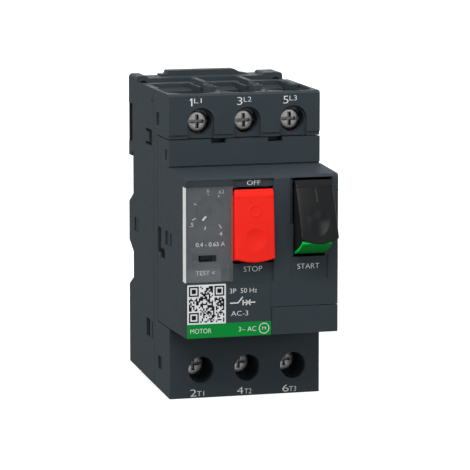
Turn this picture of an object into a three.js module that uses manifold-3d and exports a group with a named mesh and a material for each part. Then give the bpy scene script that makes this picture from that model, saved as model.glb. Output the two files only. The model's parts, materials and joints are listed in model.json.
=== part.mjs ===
// Three-pole motor protection breaker with push-button control, for a 35 mm top-hat rail.
// Millimetres. X runs to the viewer's right, Y runs from the front (negative) to the back plane
// (0), and Z runs up. Inside this file heights are counted from the underside of the housing; the
// exported group is lowered at the end, so that the origin is on the rail's centre line.
import * as THREE from "three";
import { mergeVertices } from "three/addons/utils/BufferGeometryUtils.js";
import Module from "manifold-3d";

const wasm = await Module();
wasm.setup();

// ---------------------------------------------------------------- driving dimensions
const HALF_WIDTH = 22.5; // the breaker is 45 mm wide
const HEIGHT = 89;
const SEAT_Y = -5.2; // plane that rests on the rail's flanges
const BASE_FRONT_Y = -30; // seam between the base and the terminal housing
const COVER_BACK_Y = -34; // seam between the terminal housing and the front cover
const FACE_Y = -48; // terminal faces
const FRONT_Y = -66; // raised front
const GAP = 0.3; // clearance between neighbouring mouldings
const WALL = 1.6;
const INNER = HALF_WIDTH - WALL; // inside of the side walls

const RAIL_CENTRE = 49.2; // height of the rail's centre line above the underside
const POLES = [-13, 0.8, 14.6]; // X of the three poles
const PARTITIONS = [-6.1, 7.7]; // X of the walls between the poles
const HALF_PARTITION = 0.6;

const COVER_LOW = 21; // underside and top of the raised front
const COVER_HIGH = 66.6;
const BAND_HIGH = 75.2; // top of the front cover's upper band
const BLOCK_LOW = 20.6; // top of the lower terminal block

const PIVOT = { y: -61, z: 64 }; // axle of both push-buttons
const BUTTON_TRAVEL = THREE.MathUtils.degToRad(22);
const STOP_X = [-8.2, 3.2];
const START_X = [9.5, 20.4];

const DIAL = { x: -14.4, z: 56.8, r: 4 };
const WINDOW = { x: [-HALF_WIDTH, -8.6], z: [36.9, 64], y: [-66, -62.9] };

// Each terminal: height of its screw, and the front of its head.
const UPPER_TERMINAL = { z: 80, head: -43.4 };
const LOWER_TERMINAL = { z: 8.2, head: -38 };
const SCREW_HEAD_R = 3.2;
const SCREW_HEAD_LENGTH = 2.2;
const CLAMP = 6.8; // from the front of a screw's head to the conductor it clamps
const CONDUCTOR = 0.8; // thickness of the conductor strips
const TOP = 88.4; // top of the upper terminals
const RIM = 89.2; // top of the rear wall
const WELL = { y: -40, depth: 6.9, step: 1.1 }; // oval well that leads a wire into a terminal
const WELL_X = [ // its sides, for each pole
  [-21.7, -6.8],
  [-5.4, 7],
  [8.4, 21.7],
];

// ---------------------------------------------------------------- materials
const finish = (color, roughness, metalness = 0, extra = {}) =>
  new THREE.MeshStandardMaterial({ color, roughness, metalness, ...extra });
const HOUSING = finish(0x3b4046, 0.62);
const INNER_PLASTIC = finish(0x2a2d30, 0.6);
const RED = finish(0xe02b22, 0.4);
const BLACK = finish(0x1d1e20, 0.45);
const GREEN = finish(0x0b7a2a, 0.5);
const CLEAR = finish(0x8f969b, 0.15, 0, { transparent: true, opacity: 0.4 });
const DIAL_GREY = finish(0x4b5054, 0.5);
const LABEL = finish(0x35393e, 0.5);
const ZINC = finish(0xb5b3ac, 0.35, 1);
const STEEL = finish(0x9a9c9e, 0.4, 1);
const COPPER = finish(0xb87345, 0.35, 1);
const SPRING_STEEL = finish(0xc4c6c8, 0.3, 1);

// ---------------------------------------------------------------- solids
function solid(geometry) {
  const bare = geometry.index ? geometry.toNonIndexed() : geometry;
  bare.deleteAttribute("normal");
  bare.deleteAttribute("uv");
  const merged = mergeVertices(bare, 1e-4);
  return new wasm.Manifold(
    new wasm.Mesh({
      numProp: 3,
      vertProperties: merged.attributes.position.array,
      triVerts: new Uint32Array(merged.index.array),
    }),
  );
}

function block([x0, x1], [y0, y1], [z0, z1]) {
  const box = new THREE.BoxGeometry(x1 - x0, y1 - y0, z1 - z0);
  return solid(box.translate((x0 + x1) / 2, (y0 + y1) / 2, (z0 + z1) / 2));
}

function shapeOf(outline) {
  if (outline instanceof THREE.Shape) return outline;
  return new THREE.Shape(outline.map(([a, b]) => new THREE.Vector2(a, b)));
}

function extrude(outline, depth, curveSegments = 12) {
  const options = { depth, bevelEnabled: false, curveSegments };
  return new THREE.ExtrudeGeometry(shapeOf(outline), options);
}

// A side profile in (y, z), swept from x0 to x1.
function alongX(outline, [x0, x1]) {
  const turned = new THREE.Matrix4().makeBasis(
    new THREE.Vector3(0, 1, 0),
    new THREE.Vector3(0, 0, 1),
    new THREE.Vector3(1, 0, 0),
  );
  return solid(extrude(outline, x1 - x0).applyMatrix4(turned).translate(x0, 0, 0));
}

// A front outline in (x, z), swept from y0 at the front to y1 at the back.
function alongY(outline, [y0, y1]) {
  const turned = new THREE.Matrix4().makeBasis(
    new THREE.Vector3(1, 0, 0),
    new THREE.Vector3(0, 0, 1),
    new THREE.Vector3(0, -1, 0),
  );
  return solid(extrude(outline, y1 - y0).applyMatrix4(turned).translate(0, y1, 0));
}

// Round solids about an axis through the given point; a second radius makes a cone.
function roundY(x, z, r, [y0, y1], segments = 24, rBack = r) {
  const rod = new THREE.CylinderGeometry(rBack, r, y1 - y0, segments);
  return solid(rod.translate(x, (y0 + y1) / 2, z));
}

function roundX(y, z, r, [x0, x1], segments = 20) {
  const rod = new THREE.CylinderGeometry(r, r, x1 - x0, segments).rotateZ(Math.PI / 2);
  return solid(rod.translate((x0 + x1) / 2, y, z));
}

function roundZ(x, y, r, [z0, z1], segments = 20, rTop = r) {
  const rod = new THREE.CylinderGeometry(rTop, r, z1 - z0, segments).rotateX(Math.PI / 2);
  return solid(rod.translate(x, y, (z0 + z1) / 2));
}

const join = (...solids) => solids.reduce((a, b) => a.add(b));
const cut = (body, ...tools) => tools.reduce((a, b) => a.subtract(b), body);
const span = (centre, half) => [centre - half, centre + half];

class Helix extends THREE.Curve {
  constructor(radius, length, turns) {
    super();
    Object.assign(this, { radius, length, turns });
  }
  getPoint(t, target = new THREE.Vector3()) {
    const a = t * this.turns * 2 * Math.PI;
    return target.set(this.radius * Math.cos(a), this.radius * Math.sin(a), t * this.length);
  }
}

// A coil spring along +Z from the origin.
function springGeometry(radius, wire, length, turns) {
  const section = new THREE.Shape();
  section.absarc(0, 0, wire / 2, 0, 2 * Math.PI);
  return new THREE.ExtrudeGeometry(section, {
    curveSegments: 3,
    steps: turns * 9,
    extrudePath: new Helix(radius, length, turns),
  });
}

const breaker = new THREE.Group();
const lowered = new THREE.Group();
lowered.position.z = -RAIL_CENTRE;
breaker.add(lowered);

function place(name, body, material) {
  const made = body.getMesh();
  const geometry = new THREE.BufferGeometry();
  geometry.setAttribute("position", new THREE.BufferAttribute(made.vertProperties, 3));
  geometry.setIndex(new THREE.BufferAttribute(made.triVerts, 1));
  geometry.computeVertexNormals();
  const mesh = new THREE.Mesh(geometry, material);
  mesh.name = name;
  lowered.add(mesh);
  return mesh;
}

// ---------------------------------------------------------------- housing
const RAIL_HOOK = 65.6; // height where the fixed hook starts
const HOOK_DEPTH = 1.4; // groove that the rail's upper flange slides into
const CEILING = 81.6; // top of the pole chambers

// Side profile of the sloping floor behind each wire funnel.
const FUNNEL_FLOOR = [
  [BASE_FRONT_Y - 1, HEIGHT + 3],
  [BASE_FRONT_Y - 1, 83.2],
  [-26, 83.5],
  [-23.6, 84.4],
  [-23.4, 86.6],
  [-18, 87.2],
  [-17.6, HEIGHT + 3],
];

// The base carries the rail recess, the pole chambers and the two screw lugs on top.
function baseHousing() {
  const side = [
    [BASE_FRONT_Y, 1],
    [-13.8, 1.9],
    [-13.8, 2.5],
    [-12.6, 2.5],
    [-12.6, 2],
    [0, 2.7],
    [0, 26.4],
    [SEAT_Y, 29.1],
    [SEAT_Y, 36.9],
    [0, 39.9],
    [0, 51.5],
    [SEAT_Y, 54.4],
    [SEAT_Y, RAIL_HOOK],
    [0, RAIL_HOOK],
    [0, RIM],
    [-9.6, RIM],
    [-9.6, 88],
    [-15.2, 88],
    [-15.2, TOP],
    [BASE_FRONT_Y, TOP],
  ];
  const width = [-HALF_WIDTH, HALF_WIDTH];
  const bar = [
    [-13.7, 88],
    [-13.7, 89.7],
    [-11.9, 89.7],
    [-11.4, 90.8],
    [9, 90.8],
    [11.2, 89.7],
    [13.4, 89.4],
    [13.4, 88],
  ];
  let body = join(
    alongX(side, width),
    alongY(bar, [-4, 0]),
    lug([-HALF_WIDTH, -18.8]),
    lug([16.4, HALF_WIDTH]),
  );

  const chambers = [-INNER, ...PARTITIONS, INNER];
  const trims = [0, HALF_PARTITION, HALF_PARTITION, 0];
  for (let i = 0; i < POLES.length; i++) {
    const inside = [chambers[i] + trims[i], chambers[i + 1] - trims[i + 1]];
    body = cut(
      body,
      block(inside, [BASE_FRONT_Y - 1, -8], [4.2, CEILING]),
      alongX(FUNNEL_FLOOR, [inside[0] + 0.3, inside[1] - 2]),
      block(span(chambers[i + 1] - 1.2, 0.5), [BASE_FRONT_Y + 0.8, -19], [86, HEIGHT + 1]),
      wireMouth(POLES[i]),
    );
  }
  const sides = [-1, 1].flatMap((s) => [
    block(order(s * 19.6, s * 23), [-4.4, 1], [69.9, 81.3]), // pocket in each rear corner
    roundY(s * 20.4, 87.3, 1.3, [-10.5, 1], 20), // fixing hole in each lug
  ]);
  return cut(
    body,
    block([-23, 23], [SEAT_Y, SEAT_Y + HOOK_DEPTH], [RAIL_HOOK - 1, 67]),
    ...latchChannel(),
    block([-8, 9], [BASE_FRONT_Y - 1, -20], [53, 68]), // room for the contact carrier
    block([-8, 9], [-13.3, -9.3], [46.9, 49.9]), // guide of the trip slider
    ...sides,
    ...snapPockets(-HALF_WIDTH, 1),
    ...snapPockets(HALF_WIDTH, -1),
  );
}

const order = (a, b) => (a < b ? [a, b] : [b, a]);

// Channel of the rail latch. Tabs half-way up carry its spring.
function latchChannel() {
  const wide = 7.6;
  return [
    block(span(0, wide), [-4.9, 1], [0, 18.2]),
    block(span(0, 4.4), [-4.9, 1], [18, 19.6]),
    block(span(0, wide), [-4.9, 1], [19.4, 30]),
  ];
}

// Raised lug on the rear wall, with rounded upper corners.
function lug([x0, x1]) {
  const r = 1;
  const top = 90;
  const outline = new THREE.Shape();
  outline.moveTo(x0, 88);
  outline.lineTo(x1, 88);
  outline.absarc(x1 - r, top - r, r, 0, Math.PI / 2);
  outline.absarc(x0 + r, top - r, r, Math.PI / 2, Math.PI);
  return alongY(outline, [-9.6, -0.4]);
}

// Pockets where the mouldings snap together, on the side wall at x; inward is +1 or -1.
function snapPockets(x, inward) {
  const pocket = (deep, y, z) => block(order(x - inward, x + inward * deep), y, z);
  return [
    pocket(1, [-28, -24.6], [71.3, 76]),
    pocket(1, [-24.6, -20.8], [71.3, 72.2]),
    pocket(1, [-24.6, -20.8], [75.1, 76]),
    pocket(0.7, [-29, -28], [84, 85.4]),
    pocket(1, [-28.4, -25.6], [14.2, 19.6]),
    pocket(0.5, [-25.6, -23], [14.2, 19.6]),
    pocket(1, [-23, -20.8], [14.2, 19.6]),
    pocket(0.9, [-11.8, -9.4], [43.4, 47.6]),
    pocket(0.5, [-9.4, -6.4], [43.4, 47.6]),
  ];
}

// Opening in the underside for the wire to a lower terminal.
function wireMouth(x) {
  return block(span(x, 4.3), [-36.4, -25.4], [-1, 5.2]);
}

// The terminal housing holds both rows of terminals, joined by its side walls.
function terminalHousing() {
  const back = BASE_FRONT_Y - GAP;
  const side = [
    [FACE_Y, 0],
    [back, 1],
    [back, TOP],
    [FACE_Y + 0.7, TOP],
    [FACE_Y, TOP - 0.6],
  ];
  let body = cut(
    alongX(side, [-HALF_WIDTH, HALF_WIDTH]),
    block([-23, 23], [FACE_Y - 1, COVER_BACK_Y], [BLOCK_LOW, BAND_HIGH + GAP]),
    block([-INNER, INNER], [COVER_BACK_Y - 1, back + 1], [BLOCK_LOW, BAND_HIGH + GAP]),
    block([-INNER, INNER], [-46.4, back + 1], [14.6, 19]), // hollow above the lower row
    block([-23, 23], [FACE_Y - 1, FACE_Y + 0.5], [BAND_HIGH, 76.7]), // step above the band
  );
  for (const x of POLES) {
    const upper = UPPER_TERMINAL;
    const lower = LOWER_TERMINAL;
    body = cut(
      body,
      archRecess(x),
      roundY(x, upper.z, 3.6, [FACE_Y - 1, -42]),
      block(span(x, 5), [-42.9, back + 1], [BAND_HIGH - 1, 86]),
      roundY(x, lower.z, 3.9, [FACE_Y - 1, -37], 32),
      block(span(x, 5), [-38.2, back + 1], [3, 15]),
      wireMouth(x),
    );
  }
  for (const sides of WELL_X) body = cut(body, ...wireWell(sides));
  // Posts and key slots on the walls between the wells.
  for (const x of PARTITIONS) {
    const posts = [-36, -31.8].map((y) => roundZ(x - 0.4, y, 1.5, [TOP - 4.6, TOP], 16));
    body = cut(
      join(body, ...posts),
      block(span(x, 0.4), [-45.2, -42.6], [TOP - 3, TOP + 1]),
      block(span(x, 2), [-40, -38.6], [TOP - 1.2, TOP + 1]),
      ...[-36, -31.8].map((y) => block(span(x - 0.4, 0.6), span(y, 0.6), [TOP - 3, TOP + 1])),
    );
  }
  const pocket = (s, y, z, deep) => block(order(s * 23, s * (HALF_WIDTH - deep)), y, z);
  for (const s of [-1, 1]) {
    body = cut(
      body,
      pocket(s, [-37.6, -33.6], [78.2, 82], 0.6),
      pocket(s, [-38.6, -34.6], [6.8, 10.7], 0.7),
    );
  }
  return body;
}

// Oval well open to the back, with a ledge round its mouth.
function wireWell([x0, x1]) {
  const middle = (x0 + x1) / 2;
  const half = (x1 - x0) / 2;
  const back = BASE_FRONT_Y - GAP + 1;
  const oval = (wide, deep, z) =>
    roundZ(0, 0, 1, z, 40).scale([wide, deep, 1]).translate([middle, WELL.y, 0]);
  return [
    oval(half, WELL.depth, [TOP - WELL.step, TOP + 1]),
    block([x0, x1], [WELL.y, back], [TOP - WELL.step, TOP + 1]),
    oval(half - 1.2, WELL.depth - 1.7, [85, TOP]),
    block(span(middle, half - 1.2), [WELL.y, back], [85, TOP]),
  ];
}

// Arched recess round an upper screw, open towards the band below.
function archRecess(x) {
  const r = 4.05;
  const outline = new THREE.Shape();
  outline.moveTo(x - r, BAND_HIGH);
  outline.lineTo(x + r, BAND_HIGH);
  outline.absarc(x, 80.3, r, 0, Math.PI);
  return alongY(outline, [FACE_Y - 1, FACE_Y + 1.5]);
}

// The front cover: the raised front, its openings, and the band below the upper terminals.
function frontCover() {
  const back = COVER_BACK_Y - GAP;
  const side = [
    [back, BLOCK_LOW + GAP],
    [FACE_Y, BLOCK_LOW + GAP],
    [FRONT_Y, COVER_LOW + 0.1],
    [FRONT_Y, COVER_HIGH - 0.9],
    [FRONT_Y + 0.4, COVER_HIGH - 0.2],
    [FRONT_Y + 1.2, COVER_HIGH],
    [FACE_Y, 67.4],
    [FACE_Y, BAND_HIGH],
    [back, BAND_HIGH],
  ];
  const low = COVER_LOW + WALL;
  let body = cut(
    alongX(side, [-HALF_WIDTH, HALF_WIDTH]),
    block([-INNER, INNER], [-61.3, back + 1], [low, COVER_HIGH - WALL]),
    block([-7.9, INNER], [-64.4, -61.3], [low, COVER_HIGH - WALL]),
    block([-INNER, INNER], [-46.4, back + 1], [COVER_HIGH - WALL - 1, 73.6]),
    block([-23, 23], [FACE_Y - 1, FACE_Y + 0.6], [67.3, 67.8]), // groove under the band
    block([-21.8, -8.4], [-67, FRONT_Y + 0.25], [64, 65.9]),
    // recess under the clear cover, open on the left
    block([-23, -8.5], [-67, -62.8], [36.8, 64.1]),
    roundY(DIAL.x, DIAL.z, DIAL.r + 0.3, [-64, -60], 32),
    block([-19.8, -13.9], [-64, -60], [42.5, 44.7]),
    // panel round the stop button, and the button's opening
    block([-8.5, 3.5], [-67, FRONT_Y + 0.7], [36.4, 65.9]),
    block([-8.5, 3.5], [-67, -60], [41.7, 63.6]),
    // opening of the start button, wide above and narrow below, with a shelf on its left
    block([9.2, 20.7], [-67, -60], [52.6, 65.6]),
    block([9.2, 18.7], [-67, -60], [43, 53]),
    block([8.2, 20.8], [-67, FRONT_Y + 0.9], [52.6, 65.8]),
    block([8.3, 19.6], [-67, FRONT_Y + 0.3], [36.5, 43.4]),
    // seat of the rating label
    block([-22.1, 2.6], [-67, FRONT_Y + 0.25], [21.6, 36.2]),
    // opening under the blanking cover, with a rebate round it
    block([2.8, 23], [-67, FRONT_Y + 1.6], [20, 29]),
    block([5, INNER - 0.6], [-67, -63], [22.8, 27]),
    // latch slots in the band's upper edge
    block([-10, -5.5], [-49, -44.2], [74, 76]),
    block([6.9, 11.4], [-49, -44.2], [74, 76]),
  );
  // room for the buttons' hubs, and the axle they clip onto
  body = join(
    cut(body, block([-8.4, 20.8], [-63.4, -58.4], [62, 65.8])),
    block([-9.8, -8.4], [-63, -59.6], [62.4, 65.6]),
    roundX(PIVOT.y, PIVOT.z, 0.6, [-8.8, 21.2], 12),
  );
  const pocket = (s, y, z, deep) => block(order(s * 23, s * (HALF_WIDTH - deep)), y, z);
  for (const s of [-1, 1]) {
    body = cut(
      body,
      pocket(s, [-38.6, -35], [44.6, 48.8], 1.2),
      pocket(s, [-50.6, -47], [44.8, 48.8], 1.2),
      pocket(s, [-47, -43.6], [44.8, 48.8], 0.6),
      pocket(s, [-38.2, -35], [41.4, 44.7], 0.8),
      pocket(s, [-43, -38.2], [40.2, 43], 1),
      pocket(s, [-45.4, -43.8], [69.3, 72.4], 1.2),
    );
  }
  return body;
}

// Printed plate in the front cover's lower left corner.
function ratingLabel() {
  return block([-22, 2.5], [FRONT_Y, FRONT_Y + 0.2], [21.7, 36.1]);
}

// Snap-in blank in the lower right corner, with two hooks behind it.
function blankingCover() {
  const hook = (x) =>
    alongX(
      [
        [-64.8, 24],
        [-59.6, 24],
        [-59.6, 25.4],
        [-64.8, 25.4],
      ],
      span(x, 1.2),
    );
  return join(
    block([3, HALF_WIDTH], [FRONT_Y, FRONT_Y + 1.3], [COVER_LOW, 28.8]),
    hook(8),
    hook(17),
  );
}

// ---------------------------------------------------------------- push-buttons
// Points about the axle, by radius and by angle from straight below towards the front.
function aboutAxle(r, degrees) {
  const a = THREE.MathUtils.degToRad(degrees);
  return [PIVOT.y - r * Math.sin(a), PIVOT.z - r * Math.cos(a)];
}

function sweep(r, from, to, steps = 8) {
  return Array.from({ length: steps + 1 }, (_, i) => aboutAxle(r, from + ((to - from) * i) / steps));
}

// Side profile of a button, pushed in. The underside is an arc about the axle.
function buttonProfile(underR, flange = 1.8) {
  return [
    [-66.2, 63.3],
    [-67, 61.3],
    [-67.6, 55],
    aboutAxle(underR + 0.2, 20),
    ...sweep(underR, 18.5, -12),
    ...sweep(underR - flange, -12, 9, 5),
    [-64.4, 50],
    [-64.2, 57.5],
    [-59.6, 60],
    ...[0, 45, 90, 135, 180].map((a) => {
      const t = THREE.MathUtils.degToRad(a);
      return [PIVOT.y + 1.4 * Math.cos(t), PIVOT.z + 1.4 * Math.sin(t)];
    }),
    [-62.4, 60.9],
    [-64.4, 60.9],
    [-65.5, 62.2],
  ];
}

// Side wall of a button, from its face back to the axle.
function cheekProfile(underR) {
  return [
    [-66.2, 63.3],
    [-67, 61.3],
    [-67.6, 55],
    aboutAxle(underR, 18.5),
    ...sweep(underR, 17, -11.5),
    [-60, 62.8],
    [-62.4, 60.9],
    [-64.4, 60.9],
    [-65.5, 62.2],
  ];
}

// Turns a profile about the axle; positive swings the lower end out to the front.
function swungOut(profile, angle) {
  const c = Math.cos(angle);
  const s = Math.sin(angle);
  return profile.map(([y, z]) => {
    const dy = y - PIVOT.y;
    const dz = z - PIVOT.z;
    return [PIVOT.y + dy * c + dz * s, PIVOT.z - dy * s + dz * c];
  });
}

const STOP_UNDER_R = 21.9;
const START_UNDER_R = 19.7;
const INDICATOR_R = [START_UNDER_R + 0.15, START_UNDER_R + 0.95];

function stopButton() {
  const [left, right] = STOP_X;
  return cut(
    join(
      alongX(buttonProfile(STOP_UNDER_R), STOP_X),
      alongX(cheekProfile(STOP_UNDER_R), [left, left + 1]),
      alongX(cheekProfile(STOP_UNDER_R), [right - 1, right]),
    ),
    roundX(PIVOT.y, PIVOT.z, 0.7, [-9, 4], 12),
    block([-6.4, 1.4], [-65, -50], [59.2, 66]), // fork round the axle
  );
}

// The start button stands out at rest. Its lower half is narrower behind the cap.
function startButton() {
  const profile = swungOut(buttonProfile(START_UNDER_R), BUTTON_TRAVEL);
  const cheek = swungOut(cheekProfile(START_UNDER_R), BUTTON_TRAVEL);
  const capBack = swungOut(
    [
      [-66.3, 53],
      [-66.7, 43.6],
      [-66.7, 38],
      [-40, 38],
      [-40, 53],
    ],
    BUTTON_TRAVEL,
  );
  return cut(
    join(alongX(profile, START_X), alongX(cheek, [9.5, 10.5]), alongX(cheek, [17.4, 18.4])),
    alongX(capBack, [18.4, 21]),
    roundX(PIVOT.y, PIVOT.z, 0.7, [9, 21], 12),
    alongX(
      swungOut(
        [
          [-65, 59.2],
          [-50, 59.2],
          [-50, 67],
          [-65, 67],
        ],
        BUTTON_TRAVEL,
      ),
      [11.4, 18.6],
    ),
  );
}

// Curved green strip under the start button, seen only while the button stands out.
function startIndicator() {
  const [inner, outer] = INDICATOR_R;
  const strip = [...sweep(inner, 16.5, -10), ...sweep(outer, -10, 16.5)];
  return alongX(swungOut(strip, BUTTON_TRAVEL), [9.7, 18.3]);
}

// ---------------------------------------------------------------- setting dial, test, clear cover
// The dial turns a cam behind the front cover; a cross slot takes a screwdriver.
function settingDial() {
  const { x, z, r } = DIAL;
  return cut(
    join(
      roundY(x, z, r, [-63.6, -61.6], 32),
      roundY(x, z, 2.2, [-61.7, -52], 16),
      roundY(x + 1.2, z, 3.6, [-54.6, -52], 20),
    ),
    block(span(x, 2.2), [-65, -62.6], span(z, 0.45)),
    block(span(x, 0.45), [-65, -62.6], span(z, 2.2)),
  );
}

function testLever() {
  return join(
    block([-17.4, -14.2], [-63.3, -58], [42.8, 44.4]),
    block([-17.4, -10.5], [-59.6, -58], [41.4, 44.4]),
  );
}

// Clear cover over the dial. Its left side wraps round the housing's corner to the hinge.
const HINGE = { x: -22.05, y: -63.35, r: 0.45 };
function dialCover() {
  const { x, y, z } = WINDOW;
  return cut(
    join(
      block(x, [y[0], y[0] + 1.1], z),
      block([x[0], x[0] + 2 * HINGE.r], [y[0], HINGE.y], z),
      roundZ(HINGE.x, HINGE.y, HINGE.r, z, 16),
      block([x[1] - 0.9, x[1]], [y[0], y[0] + 1.8], [z[0], z[0] + 4]),
    ),
    block([-18.6, -13.2], [-67, -64], [42.6, 44.6]), // lets a screwdriver reach the test lever
  );
}

// ---------------------------------------------------------------- terminals
// Pan-head terminal screw with a slot right across it and a cross recess.
function terminalScrew(x, { z, head }) {
  const neck = head + SCREW_HEAD_LENGTH;
  const recess = [
    block(span(x, SCREW_HEAD_R + 1), [head - 1, head + 0.7], span(z, 0.4)),
    block(span(x, 0.4), [head - 1, head + 1.1], span(z, 1.9)),
    block(span(x, 1.9), [head - 1, head + 1.1], span(z, 0.4)),
  ];
  return cut(
    join(
      roundY(x, z, SCREW_HEAD_R - 0.4, [head, head + 0.4], 20, SCREW_HEAD_R),
      roundY(x, z, SCREW_HEAD_R, [head + 0.4, neck], 20),
      roundY(x, z, 1.95, [neck, head + 6.5], 12),
    ),
    ...recess,
  );
}

// Clamp that the screw draws forward, squeezing the wire against the conductor.
function terminalCage(x, { z, head }) {
  const y = [head + 5, head + 13.1];
  return cut(
    block(span(x, 4.2), y, span(z, 3.3)),
    block(span(x, 3.4), [y[0] + 0.8, y[1] - 0.8], span(z, 5)),
    roundY(x, z, 2.3, [y[0] - 1, y[0] + 2], 12),
  );
}

// ---------------------------------------------------------------- current path of one pole
const BRIDGE_Y = -22.5; // front of the moving contact while the breaker is off
const FIXED_PAD_Y = -16.2; // faces of the fixed contacts

// Bent strip from the upper terminal to the upper fixed contact.
function lineContact(x) {
  const plate = UPPER_TERMINAL.head + CLAMP;
  const t = CONDUCTOR;
  const strip = [
    [plate, 83.4],
    [plate, 75.5],
    [-33.2, 75.5],
    [-33.2, 70.6],
    [-15, 70.6],
    [-15, 62.5],
    [-15 + t, 62.5],
    [-15 + t, 70.6 + t],
    [-33.2 + t, 70.6 + t],
    [-33.2 + t, 75.5 + t],
    [plate + t, 75.5 + t],
    [plate + t, 83.4],
  ];
  return join(alongX(strip, span(x, 2.8)), contactPad(x, [63, 66]));
}

function contactPad(x, z) {
  return block(span(x, 1.8), [FIXED_PAD_Y, -14.9], z);
}

function loadContact(x) {
  const strip = block(span(x, 2.8), [-15, -15 + CONDUCTOR], [50.4, 57.5]);
  return join(strip, contactPad(x, [54, 57]));
}

// Bridge that closes across both fixed contacts of a pole.
function movingContact(x) {
  return join(
    block(span(x, 2.1), [BRIDGE_Y, BRIDGE_Y + 1.2], [53.6, 66.4]),
    block(span(x, 1.7), [BRIDGE_Y + 1.1, BRIDGE_Y + 2], [54, 57]),
    block(span(x, 1.7), [BRIDGE_Y + 1.1, BRIDGE_Y + 2], [63, 66]),
  );
}

function contactSpring(x) {
  const coil = springGeometry(1.5, 0.45, 2.6, 3).rotateX(-Math.PI / 2);
  return solid(coil.translate(x, -25.5, 60));
}

// Stack of splitter plates between two side frames.
function arcChute(x) {
  const half = 4.9;
  const frames = [-1, 1].map((s) =>
    block(order(x + s * half, x + s * (half - 0.8)), [-28, -10], [72.2, 81.2]),
  );
  const plates = Array.from({ length: 5 }, (_, i) => {
    const z = 73 + i * 1.8;
    return cut(
      block(span(x, half - 0.4), [-28, -10], [z, z + 0.6]),
      block(span(x, 1), [-29, -22], [z - 1, z + 2]),
    );
  });
  return join(...frames, ...plates);
}

// Magnetic trip: winding on its former, with a plunger inside.
const COIL_Y = -20.6;
function tripCoil(x) {
  const rings = [35.6, 38.4, 41.2, 44].map((z) => roundZ(x, COIL_Y, 4.4, [z, z + 2.2], 14));
  return cut(
    join(
      roundZ(x, COIL_Y, 3.9, [35, 46.8], 14),
      block(span(x, 4.6), span(COIL_Y, 4.6), [34, 35.1]),
      block(span(x, 4.6), span(COIL_Y, 4.6), [46.7, 47.8]),
      ...rings,
    ),
    roundZ(x, COIL_Y, 2.3, [35.2, 49], 14), // blind bore of the plunger
  );
}

function tripPlunger(x) {
  return join(
    roundZ(x, COIL_Y, 1.9, [35.5, 48.6], 12),
    roundZ(x, COIL_Y, 0.8, [48.5, 51], 10),
  );
}

const STRIP_Y = [-13, -9.4]; // width of the bimetal strips

function bimetalStrip(x) {
  return block(span(x, 0.4), STRIP_Y, [19, 45.6]);
}

// Heater wound round the bimetal strip.
function heaterWinding(x) {
  const mid = (STRIP_Y[0] + STRIP_Y[1]) / 2;
  const turns = Array.from({ length: 7 }, (_, i) => {
    const z = 24.4 + i * 2;
    return block(span(x, 1.7), span(mid, 2.75), [z, z + 1.3]);
  });
  return cut(
    join(block(span(x, 1.3), span(mid, 2.4), [24, 38.4]), ...turns),
    block(span(x, 0.75), [STRIP_Y[0] - 0.3, STRIP_Y[1] + 0.3], [20, 42]),
  );
}

// Strip from the bimetal's foot to the lower terminal.
function loadConductor(x) {
  const plate = LOWER_TERMINAL.head + CLAMP;
  const t = CONDUCTOR;
  const strip = [
    [plate, 5],
    [plate, 13 + t],
    [-14.6, 13 + t],
    [-14.6, 20],
    [-14.6 + t, 20],
    [-14.6 + t, 13],
    [plate + t, 13],
    [plate + t, 5],
  ];
  const shelf = block(span(x, 2.8), [-14, -9.4], [17.4, 18.6]);
  return join(alongX(strip, span(x, 2.8)), shelf);
}

// ---------------------------------------------------------------- mechanism
// Insulating carrier for the three moving contacts, driven through its stem.
function contactCarrier() {
  const cheeks = POLES.flatMap((x) =>
    [-1, 1].map((s) => block(order(x + s * 2.5, x + s * 3.5), [-26.2, -20.8], [58, 62])),
  );
  const bar = block([-17.4, 19], [-29, -26], [57.6, 62.4]);
  const stem = block([3.8, 6.2], [-44.3, -28.8], [58.4, 61.6]);
  return join(bar, stem, ...cheeks);
}

// Slider that any of the three bimetal strips can push.
function tripSlider() {
  const fingers = POLES.map((x) => block([x + 0.7, x + 1.9], [-12.4, -10], [44, 47.4]));
  return join(block([-18.6, 17.8], [-13, -9.6], [47.2, 49.6]), ...fingers);
}

const LEVER = { x: [4, 6], y: -47, z: 47 };

// Lever of the switching lock; its upper end pushes the carrier's stem.
function switchLever() {
  const { x, y, z } = LEVER;
  const outline = [
    [y - 2.4, z - 2],
    [y + 2.4, z - 2],
    [y + 2.4, z + 14.6],
    [y + 0.4, z + 14.6],
    [y - 2.6, z + 2],
    [y - 9, z - 3],
    [y - 9, z - 5],
    [y - 6, z - 5],
  ];
  return cut(alongX(outline, x), roundX(y, z, 1.1, [3, 7], 12));
}

// Spring under the lever's front arm, standing on the frame's foot.
function lockSpring() {
  const coil = springGeometry(1.4, 0.5, 7.6, 5);
  return solid(coil.translate(5, LEVER.y - 7.4, LEVER.z - 13.4));
}

// Frame plate of the switching lock, with the lever's pin and the spring's foot.
function lockFrame() {
  const plate = [
    [-57, 32],
    [-38, 32],
    [-38, 56],
    [-50, 56],
    [-57, 46],
  ];
  const pin = roundX(LEVER.y, LEVER.z, 0.9, [3.4, 7.4], 12);
  const foot = block([3.2, 7.4], [-57, -51], [32, 33]);
  return join(alongX(plate, [7, 8.2]), foot, pin);
}

// Spring-loaded latch that holds the rail's lower flange.
function railLatch() {
  return join(
    block([-7.2, 7.2], [-4.6, -1.6], [3.4, 18]),
    block([-4, 4], [-4.6, -1.6], [17.8, 26]),
    block([-7.2, 7.2], [-3.6, -1.4], [25.8, 33]),
    block([-5, 5], [-1.7, -0.4], [3.4, 5.4]),
  );
}

function latchSpring(x) {
  const coil = springGeometry(1, 0.4, 5.2, 5);
  return solid(coil.translate(x, -3.1, 19.95));
}

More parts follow.
